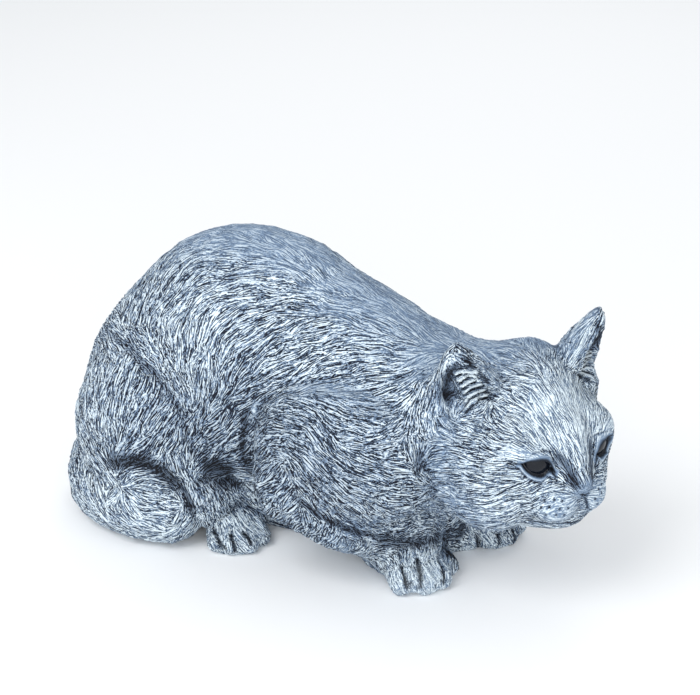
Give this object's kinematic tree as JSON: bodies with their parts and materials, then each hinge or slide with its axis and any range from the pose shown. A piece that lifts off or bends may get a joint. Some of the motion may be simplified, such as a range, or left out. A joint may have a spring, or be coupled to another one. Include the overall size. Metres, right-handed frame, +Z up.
{
  "type": "garden statue",
  "caption": "Crouching cat cast in one piece in grey stone, with carved fur, head low and turned aside, tail wrapped round the haunch; stands on its own flat underside.",
  "frame": {"origin": "on the ground, in the middle of the bounding box's length and width", "axes": "+X towards the nose, +Z up; the cat's right side, with the wrapped tail, is at -Y"},
  "size_m": [0.4072, 0.1724, 0.2224],
  "materials": {
    "cast_stone": "matt grey, with a darker wash in the carved fur"
  },
  "bodies": {
    "root": {"cat": "cast_stone"}
  },
  "joints": []
}
